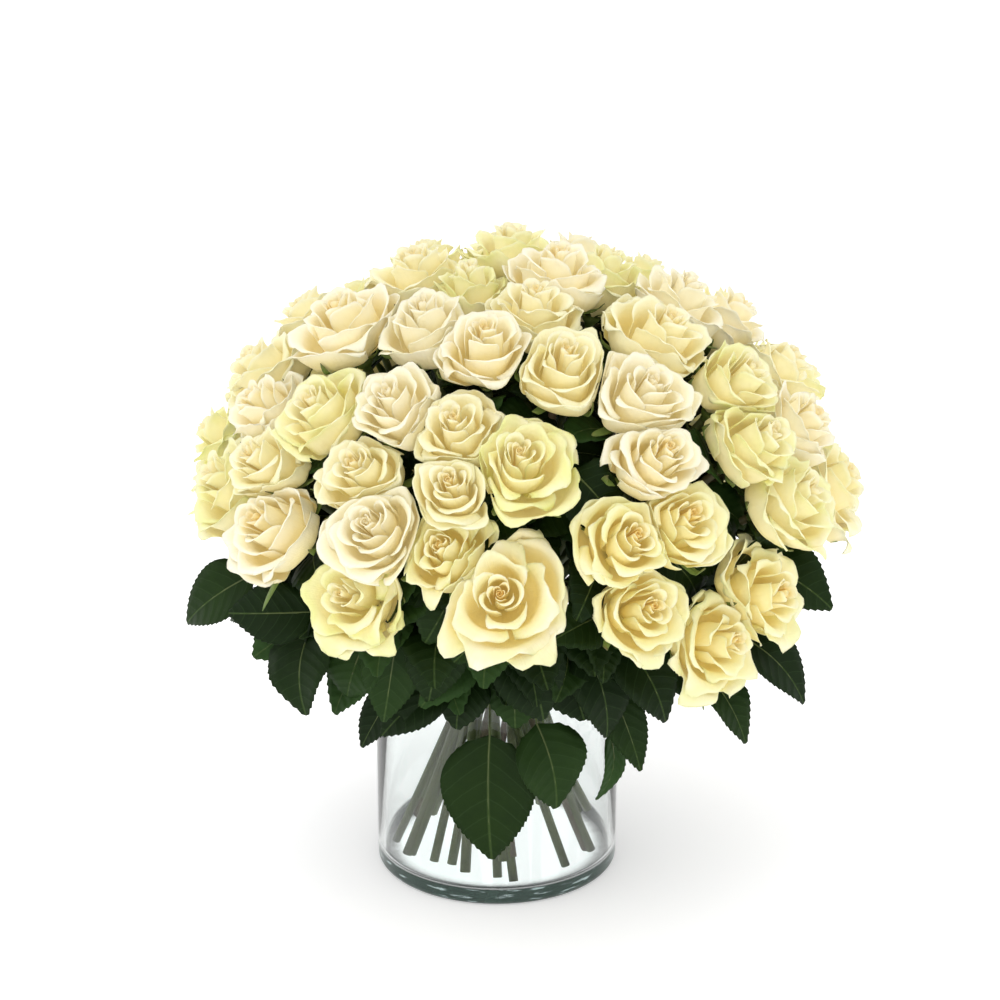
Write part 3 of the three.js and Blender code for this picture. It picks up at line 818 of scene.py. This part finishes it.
def petal(bm, head, walls, grow, number):
    p = measures(head, grow, number)
    along, across = bm.verts.layers.float["along"], bm.verts.layers.float["across"]
    made = bmesh.ops.create_grid(bm, x_segments=p.steps[0], y_segments=p.steps[1], size=1)
    for vert in made["verts"]:
        u, v = vert.co.x, (vert.co.y + 1) / 2
        vert[along], vert[across] = v, u
        up, out = lift(p, u, cut_edge(p, u, v))
        angle = p.turn + p.span * u
        vert.co = squeezed(head, walls, up, angle, max(out, CLOSEST), GIVES_WAY * p.size)
    return made["verts"]


# %% All heads
ATTRIBUTES = ("along", "across", "layer", "warm", "green", "rosy")


def petals_of(head, bm):
    layer = {name: bm.verts.layers.float[name] for name in ATTRIBUTES}
    walls = walls_around(head)
    head.reach = even_reach(head, walls)
    for number in range(PETALS):
        grow = number / (PETALS - 1)
        for vert in petal(bm, head, walls, grow, number):
            vert[layer["layer"]] = grow
            for name in ("warm", "green", "rosy"):
                vert[layer[name]] = getattr(head, name)


for number, cluster in enumerate(clusters, 1):
    bm = numbered(*ATTRIBUTES)
    for head in cluster:
        petals_of(head, bm)
    piece = new_object(f"petals_{number:02d}", bm, petal_satin)
    thicken(piece, PETAL_THICK)
    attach(piece, "root")
    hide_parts(f"{'roses' if len(cluster) > 1 else 'rose'}_{number:02d}")
print("petals:", len(heads) * PETALS)

# %% [markdown]
# ## Stems
# In a hand-tied bunch the stems lean past each other at the waist like the straws of a spiral
# stand: each one passes the middle on the same side, so seventy stems fit through a sheaf no wider
# than a fist. Above the waist a stem leads straight to its head. Below it every third one leads to
# the vase's floor, as in the solids. A few between them go astray a little and end above the floor,
# as some do in the photograph, and the others are cut short under the rim.

# %% The route of each stem
STEM_RADIUS = 3.1 * MM
SHEAF_RADIUS = 24 * MM
VASE_FLOOR = (VASE["floor"] + 0.35) * MM
FOOT_REACH = 83 * MM
FOOT_SPREAD = 0.28
CALYX_DEPTH = 9 * MM
CALYX_RADIUS = 7 * MM
BEND = 20 * MM
REACHING = 3            # stems whose number this divides stand on the vase's floor
ENDING_ABOVE = 7        # and of the others, those that this divides end above it
ENDS_ABOVE = 34 * MM
ASTRAY = math.radians(24)
CUT_SHORT = (4 * MM, 26 * MM)
UP_STEPS, WAIST_STEPS, DOWN_STEPS = 5, 5, 6


def stem_route(head, rank):
    """Points from under the head through the sheaf to the cut end, and the place in the sheaf."""
    outward = Vector((head.axis.x, head.axis.y, 0))
    tangent = UP.cross(outward).normalized()
    waist = WAIST + tangent * SHEAF_RADIUS * math.sqrt((rank + 0.5) / len(heads))
    straight = (WAIST.z - VASE_FLOOR) * outward.length / head.axis.z
    furthest = FOOT_REACH * (1 - FOOT_SPREAD * chance(head.number + 0.5))
    cut = -outward.normalized() * min(straight, furthest)
    cut.z = VASE_FLOOR
    if head.number % REACHING:
        cut.rotate(Matrix.Rotation(between(-ASTRAY, ASTRAY, head.number + 0.6), 3, "Z"))
        cut.z += ENDS_ABOVE * chance(head.number + 0.8)
    neck = head.foot - head.axis * CALYX_DEPTH
    above = waist + (neck - waist).normalized() * BEND
    below = waist + (cut - waist).normalized() * BEND
    if head.number % REACHING and head.number % ENDING_ABOVE:
        cut = below + (cut - waist).normalized() * between(*CUT_SHORT, head.number + 0.4)
    route = [neck.lerp(above, k / UP_STEPS) for k in range(UP_STEPS)]
    for k in range(WAIST_STEPS + 1):
        t = k / WAIST_STEPS
        route.append(above.lerp(waist, t).lerp(waist.lerp(below, t), t))
    route += [below.lerp(cut, k / DOWN_STEPS) for k in range(1, DOWN_STEPS + 1)]
    return route


# %% Sweeping a ring along a route
def frames_along(route):
    """One matrix for each point of a route: it stands there and looks along the route."""
    frames = []
    for k, place in enumerate(route):
        ahead = (route[min(k + 1, len(route) - 1)] - route[max(k - 1, 0)]).normalized()
        side = sideways(ahead)
        turned = Matrix((side, ahead.cross(side), ahead)).transposed().to_4x4()
        frames.append(Matrix.Translation(place) @ turned)
    return frames


def sweep(bm, frames, radii, sides):
    """A closed rod: a capped ring that is carried from frame to frame."""
    steps = [frame @ Matrix.Diagonal((r, r, 1, 1)) for frame, r in zip(frames, radii)]
    ring = bmesh.ops.create_circle(bm, segments=sides, radius=1, matrix=steps[0])["verts"]
    every = list(ring)
    bm.faces.new(reversed(ring))
    edges = [bm.edges.get((ring[k - 1], ring[k])) for k in range(sides)]
    for before, after in zip(steps, steps[1:]):
        grown = bmesh.ops.extrude_edge_only(bm, edges=edges)["geom"]
        ring = [g for g in grown if isinstance(g, bmesh.types.BMVert)]
        edges = [g for g in grown if isinstance(g, bmesh.types.BMEdge)]
        bmesh.ops.transform(bm, matrix=after @ before.inverted(), verts=ring)
        every += ring
    bmesh.ops.contextual_create(bm, geom=edges)
    return every


# %% The stems
STEM_SIDES = 8
TAPER = 0.22            # a stem is thicker towards its cut end
KNUCKLE = 1.18          # and swollen where a leaf grew

by_lean = sorted(heads, key=lambda head: -head.axis.z)
routes = {}
bm = numbered("tone")
tone = bm.verts.layers.float["tone"]
for rank, head in enumerate(by_lean):
    route = stem_route(head, rank)
    routes[head.number] = route
    size = STEM_RADIUS * between(0.85, 1.12, head.number + 0.7)
    joint = int(between(2, 9, head.number + 0.2))
    count = len(route)
    radii = [size * (KNUCKLE if k == joint else 1 + TAPER * k / count) for k in range(count)]
    for vert in sweep(bm, frames_along(route), radii, STEM_SIDES):
        vert[tone] = chance(head.number + 0.9)
bmesh.ops.recalc_face_normals(bm, faces=bm.faces)
print("stems:", len(routes), "faces:", len(bm.faces))
stems = new_object("stems", bm, stem_skin)
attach(stems, "root")
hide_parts("leafy_stems")

# %% [markdown]
# ## Hips and sepals
# Under each head sits a small green cup, from which five narrow sepals spread. They show at the
# gaps between the heads. A sepal is a short grid that follows the outside of the head and then
# curls away from it.

# %% Hips and sepals
SEPALS = 5
SEPAL_LENGTH = 0.45     # of the head's height
SEPAL_HALF = 4.2 * MM
SEPAL_THICK = 0.7 * MM
SEPAL_CURL = 20 * MM
SEPAL_SEEDS = (13, 2.3)
CUP_SIDES = 10
# part of the way up the green cup, and its radius in radii of the stem
CUP_SWELL = [(0, 1.0), (0.25, 1.15), (0.55, 2.0), (0.8, 2.25), (1.0, 1.9)]


def hip(bm, head):
    """The green cup: a rod that swells from the stem to the foot of the head."""
    start = head.foot - head.axis * CALYX_DEPTH
    route = [start + head.axis * CALYX_DEPTH * part for part, _ in CUP_SWELL]
    sweep(bm, frames_along(route), [STEM_RADIUS * size for _, size in CUP_SWELL], CUP_SIDES)


def sepal(bm, head, walls, number):
    seed = head.number * SEPAL_SEEDS[0] + number * SEPAL_SEEDS[1]
    turn = TURN * number / SEPALS + chance(head.number + 0.1) * TURN
    length = HEAD_HEIGHT * SEPAL_LENGTH * between(0.8, 1.15, seed)
    curled = chance(seed + 1) ** 2
    made = bmesh.ops.create_grid(bm, x_segments=2, y_segments=8, size=1)
    along = bm.verts.layers.float["along"]
    for vert in made["verts"]:
        u, v = vert.co.x, (vert.co.y + 1) / 2
        vert[along] = v
        up = length * v * (1 - 0.5 * v * curled)
        swell = ease(up / (0.30 * HEAD_HEIGHT))
        out = CALYX_RADIUS * 0.8 + (0.87 * head.radius + 1.5 * MM - CALYX_RADIUS * 0.8) * swell
        out += SEPAL_CURL * curled * v**3 + MM * u * u
        half = SEPAL_HALF * (1 - v) ** 0.7 * (0.75 + 0.9 * v)
        vert.co = squeezed(head, walls, up, turn + u * half / out, out)
    return made["verts"]


bm = numbered("along", "tone")       # on a hip both stay 0
for head in heads:
    hip(bm, head)
bmesh.ops.recalc_face_normals(bm, faces=bm.faces)
hips = new_object("hips", bm, sepal_green)

bm = numbered("along", "tone")
tone = bm.verts.layers.float["tone"]
for head in heads:
    walls = walls_around(head)
    for number in range(SEPALS):
        for vert in sepal(bm, head, walls, number):
            vert[tone] = chance(head.number + number)
print("sepals:", SEPALS * len(heads))
sepals = new_object("sepals", bm, sepal_green)
thicken(sepals, SEPAL_THICK)
for piece in (hips, sepals):
    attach(piece, "root")
    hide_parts("leafy_stems")

# %% [markdown]
# ## Leaves
# Leaves hang over the rim all round, and more of them grow on the stems between the heads. A rose
# leaf is an oval blade with a saw-toothed edge, folded a little along its midrib and arched
# from foot to tip. The rows say where each blade starts and ends. Its grid has two rows for each
# tooth: the one at the tooth's point is moved towards the tip, and the one in the notch is drawn
# in. Where a blade would cross a head, it is pressed down under it.

# %% The rows of leaves
LEAVES = [
    # foot and tip as (bearing, distance, height), then width: the skirt in front, left to right
    ((-69, 192, 262), (-76, 238, 212), 46), ((-49, 178, 250), (-62, 222, 238), 42),
    ((-55, 168, 226), (-49, 190, 172), 56), ((-39, 152, 228), (-43, 156, 180), 40),
    ((-29, 146, 246), (-33, 150, 167), 40), ((-17, 140, 246), (-19, 146, 188), 40),
    ((-19, 112, 196), (-35, 142, 148), 44), ((-42, 110, 178), (-50, 130, 126), 28),
    ((-3, 101, 146), (-6, 106, 46), 64), ((6, 122, 232), (17, 140, 176), 50),
    ((30, 124, 224), (36, 140, 150), 42), ((37, 146, 232), (44, 180, 170), 44),
    ((42, 122, 186), (47, 150, 118), 30), ((16, 107, 156), (24, 120, 92), 50),
    ((56, 103, 128), (47, 109, 80), 20), ((51, 196, 206), (52, 229, 156), 34),
    ((60, 206, 226), (63, 254, 178), 42), ((72, 205, 268), (72, 262, 240), 46),
    # and those that only the picture needs: over the rim,
    ((-10, 108, 200), (-14, 122, 158), 42), ((7, 112, 200), (5, 121, 160), 38),
    ((-27, 118, 206), (-24, 134, 160), 46), ((24, 120, 214), (29, 136, 166), 46),
    ((-62, 150, 236), (-66, 196, 196), 46), ((48, 150, 224), (54, 190, 176), 42),
    # in the gaps between the lower heads,
    ((-10, 150, 288), (-19, 166, 244), 46), ((42, 170, 302), (50, 188, 262), 46),
    ((18, 170, 372), (28, 190, 338), 46), ((50, 184, 312), (59, 198, 282), 44),
    ((40, 172, 292), (56, 184, 268), 42), ((72, 150, 232), (79, 178, 284), 52),
    # and over the rim again (a leaf's place in this list is also its seed)
    ((-44, 132, 214), (-48, 164, 168), 44), ((33, 112, 200), (38, 128, 158), 36),
    ((66, 160, 240), (70, 214, 208), 44),
]

# %% The outline of a leaf, and how it passes under a head
LEAF_FOLD = 0.16            # the rise of its sides, in parts of its half width
LEAF_ARCH = (0.06, 0.20)    # the rise of its middle, in parts of its length
LEAF_TWIST = 0.38           # how far it may roll to one side
LEAF_WAVE = 0.05            # the waves along its sides, in parts of its width
LEAF_BOW = 0.12             # how far the tip bends aside, in parts of its length
LOOK_UP = 0.6               # how far its upper side faces up rather than outwards
CELLS_ACROSS = 6
MIDRIB_STEPS = 6
LEAF_VARY = 3.1             # from one leaf's seed to the next
TOOTH = 4.6 * MM
TOOTH_DEPTH = 0.6 * MM
LEAF_THICK = 0.5 * MM
NEAR_A_HEAD = 100 * MM
# the underside of a head: the distance from its axis in radii, and the height over its foot
UNDER_A_HEAD = [
    (0, -2 * MM), (0.3, -2 * MM), (0.95, 0.5 * HEAD_HEIGHT), (1.15, 1.15 * HEAD_HEIGHT)
]


def half_width(part):
    """Half of a blade's outline, as a part of its half width, from the foot, 0, to the tip, 1."""
    return max(0.0, math.sin(math.pi * part**0.68)) ** 0.75 * (1 - 0.25 * part**4)


def tucked(point, head):
    """Where a leaf would cross a head, it is pressed down along the underside of the cup."""
    up = (point - head.foot).dot(head.axis)
    out = (point - head.foot - head.axis * up).length / head.radius
    if up < 0 or up > UNDER_A_HEAD[-1][1] or out > UNDER_A_HEAD[-1][0]:
        return point
    for (near, low), (far, high) in zip(UNDER_A_HEAD, UNDER_A_HEAD[1:]):
        if out <= far:
            under = low + (high - low) * (out - near) / (far - near)
            break
    return point + head.axis * min(0.0, under - up)


# %% One blade
def blade(bm, foot, tip, width, facing, seed, teeth=0):
    """One leaf blade, and its midrib's points."""
    ahead = tip - foot
    length = ahead.length
    teeth = teeth or round(length / TOOTH)
    ahead.normalize()
    upward = (facing - ahead * facing.dot(ahead)).normalized()
    twist = between(-LEAF_TWIST, LEAF_TWIST, seed + 4)
    upward = (upward + upward.cross(ahead) * twist).normalized()
    aside = upward.cross(ahead)
    wave, phase = between(0.2, 1.0, seed) * LEAF_WAVE, between(0, TURN, seed + 1)
    bow, arch = between(-LEAF_BOW, LEAF_BOW, seed + 2), between(*LEAF_ARCH, seed + 5)
    close_by = [head for head in heads if (head.middle - (foot + tip) / 2).length < NEAR_A_HEAD]
    layer = {name: bm.verts.layers.float[name] for name in ("along", "across", "tone")}

    def place(part, side):
        lifted = arch * length * 4 * part * (1 - part) + LEAF_FOLD * abs(side) * width / 2
        lifted += wave * width * side * side * math.sin(9 * part + phase)
        bent = bow * length * part * part
        point = foot + ahead * part * length + aside * (side * width / 2 + bent) + upward * lifted
        for head in close_by:
            point = tucked(point, head)
        return point

    made = bmesh.ops.create_grid(bm, x_segments=CELLS_ACROSS, y_segments=2 * teeth, size=1)
    step = 1 / (2 * teeth)
    for vert in made["verts"]:
        u, v = vert.co.x, (vert.co.y + 1) / 2
        row = round(v / step)
        edge = abs(u) ** 3
        tooth = row % 2 and v < 1
        part = min(1.0, v + (0.7 * step * edge if tooth else 0))
        half = half_width(v) * (1 + (1 if tooth else -1) * edge * TOOTH_DEPTH / width)
        vert[layer["along"]], vert[layer["across"]] = v, u * half_width(v)
        vert[layer["tone"]] = chance(seed + 3)
        vert.co = place(part, u * half)
    return [place(k / MIDRIB_STEPS, 0) for k in range(MIDRIB_STEPS + 1)]


def outwards(place):
    return Vector((place.x, place.y, 0)).normalized() + UP * LOOK_UP


# %% Where a stalk is rooted
ABOVE_SHEAF = 25
OVER_RIM = 6 * MM


def root_on_stem(place):
    """The nearest place on any stem above the sheaf."""
    best = None
    for head in heads:
        neck, start = routes[head.number][0], WAIST + head.axis * ABOVE_SHEAF * MM
        run = neck - start
        part = min(1.0, max(0.0, (place - start).dot(run) / run.length_squared))
        near = start + run * part
        if best is None or (near - place).length < (best - place).length:
            best = near
    return best


def stalk_route(foot):
    """From a stem to the blade, over the rim where the blade hangs below it."""
    rim = VASE["height"] * MM + OVER_RIM
    if foot.z >= rim:
        return [root_on_stem(foot)]
    over = Vector((foot.x, foot.y, 0)).normalized() * (VASE["radius"] * MM + OVER_RIM)
    over.z = rim
    return [root_on_stem(over), over]


# %% A leaf with its stalk and midrib, and what a group of them becomes
STALK_RADIUS = 1.1 * MM
STALK_TAPER = 0.8
STALK_SIDES = 5


def new_foliage():
    """Two bmeshes: one for the blades, and one for their stalks and midribs."""
    return numbered("along", "across", "tone"), numbered("tone")


def leaf(foliage, foot, tip, width, facing, seed, teeth=0):
    blades, ribs = foliage
    spine = blade(blades, foot, tip, width * MM, facing, seed, teeth)
    route = [*stalk_route(foot), *spine]
    count = len(route)
    radii = [STALK_RADIUS * (1 - STALK_TAPER * k / (count - 1)) for k in range(count)]
    sweep(ribs, frames_along(route), radii, STALK_SIDES)


def hand_over(name, foliage):
    blades, ribs = foliage
    bmesh.ops.recalc_face_normals(ribs, faces=ribs.faces)
    print(name + ":", len(blades.faces), "faces of blades,", len(ribs.faces), "of stalks")
    leaves = new_object(f"{name}_leaves", blades, leaf_wax)
    thicken(leaves, LEAF_THICK)
    stalks = new_object(f"{name}_stalks", ribs, stem_skin)
    for piece in (leaves, stalks):
        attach(piece, "root")
        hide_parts("leafy_stems")


# %% The skirt in front and behind
BROADER = 1.12          # than on the solids, to hide more of the sheaf
TO_THE_FRONT = Vector((0, -0.7, 0))
SKIRT_BEHIND = {
    "count": 13, "from": 92, "step": 15.5, "radius": 168, "height": 232, "reach": 47, "drop": 52,
    "width": 56, "lower": 26, "fall": 4, "sway": 12, "sway seed": 200, "seed": 70,
}
HELD_UP = 0.35          # the last two hang less, so that none shows under the leaves at the left

skirt = new_foliage()
for number, (foot_row, tip_row, width) in enumerate(LEAVES):
    foot, tip = polar(*foot_row), polar(*tip_row)
    leaf(skirt, foot, tip, width * BROADER, outwards(foot) + TO_THE_FRONT, number * LEAF_VARY)
s = SKIRT_BEHIND
for k in range(s["count"]):
    bearing = s["from"] + k * s["step"]
    vary = s["sway"] * (chance(k + s["sway seed"]) - 0.5)
    odd = k % 2
    foot = polar(bearing, s["radius"] + vary, s["height"] - s["lower"] * odd)
    drop = s["drop"] * (HELD_UP if k >= s["count"] - 2 else 1) + (s["lower"] + s["fall"]) * odd
    tip = polar(bearing + vary, s["radius"] + s["reach"], s["height"] - drop)
    leaf(skirt, foot, tip, s["width"], outwards(foot), s["seed"] + k * LEAF_VARY)
hand_over("skirt", skirt)

# %% [markdown]
# The solids have no more leaves than these, and one could look between them at the bare stems.
# Three rings of leaves close the underside of the dome all round, behind the skirt, and a few
# leaves on each stem darken the gaps between the heads. They are seen in small parts only, so their
# teeth are few, which saves faces.

# %% The rings that close the underside of the dome
UNDERSIDE = [
    # leaves in the ring, then foot and tip as (distance, height), and width
    (20, (132, 246), (176, 214), 50),
    (17, (112, 224), (150, 186), 48),
    (13, (96, 200), (132, 176), 42),
]
UNDER = {
    "seed": 500, "seeds in a ring": 40, "uneven": 0.8, "foot lift": (-6, 6), "tip lift": (-6, 8),
    "aside": (-14, 14), "width": (0.8, 1.1), "teeth": 9,
}

underside = new_foliage()
for ring, (count, foot_at, tip_at, width) in enumerate(UNDERSIDE):
    for k in range(count):
        seed = UNDER["seed"] + UNDER["seeds in a ring"] * ring + k
        bearing = (k + UNDER["uneven"] * chance(seed)) * 360 / count
        foot = polar(bearing, foot_at[0], foot_at[1] + between(*UNDER["foot lift"], seed + 0.2))
        tip_bearing = bearing + between(*UNDER["aside"], seed + 0.4)
        tip = polar(tip_bearing, tip_at[0], tip_at[1] + between(*UNDER["tip lift"], seed + 0.6))
        wide = width * between(*UNDER["width"], seed + 0.8)
        leaf(underside, foot, tip, wide, outwards(foot), seed, UNDER["teeth"])
hand_over("underside", underside)

# %% The leaves on the stems under each head
GAP_LEAVES = {
    "every": 5, "below": 40, "aside": 10, "reach": 50, "rise": 8, "width": 44, "turn seed": 300,
    "seed": 130,
}
INNER = {
    "leaves": 5, "first": 6, "apart": 17, "uneven": 0.6, "aside": 6, "reach": 52, "width": 46,
    "rise": 8, "shrinks": 260, "seed": 700, "seeds of a head": 5.3, "teeth": 7,
}
HEADS_IN_GROUP = 24


def gap_leaf(foliage, head):
    g = GAP_LEAVES
    side = Matrix.Rotation(TURN * chance(head.number + g["turn seed"]), 3, head.axis) @ head.across
    foot = head.foot - head.axis * g["below"] * MM + side * g["aside"] * MM
    tip = foot + side * g["reach"] * MM + head.axis * g["rise"] * MM
    leaf(foliage, foot, tip, g["width"], head.axis, g["seed"] + head.number)


def inner_leaf(foliage, head, k):
    """The leaf number `k` on a stem: each is further down, further round and smaller."""
    i = INNER
    seed = i["seed"] + head.number * i["seeds of a head"] + k
    side = head.spoke(TURN * (k / i["leaves"] + chance(head.number)))
    below = i["first"] + i["apart"] * (k + i["uneven"] * chance(seed))
    shrink = 1 - below / i["shrinks"]
    foot = head.foot - head.axis * below * MM + side * i["aside"] * MM
    tip = foot + side * i["reach"] * shrink * MM + head.axis * i["rise"] * MM
    leaf(foliage, foot, tip, i["width"] * shrink, head.axis, seed, i["teeth"])


for first in range(0, len(heads), HEADS_IN_GROUP):
    inner = new_foliage()
    for head in heads[first : first + HEADS_IN_GROUP]:
        if head.number % GAP_LEAVES["every"] == 0:
            gap_leaf(inner, head)
        for k in range(INNER["leaves"]):
            inner_leaf(inner, head, k)
    hand_over(f"inner_{first // HEADS_IN_GROUP + 1}", inner)
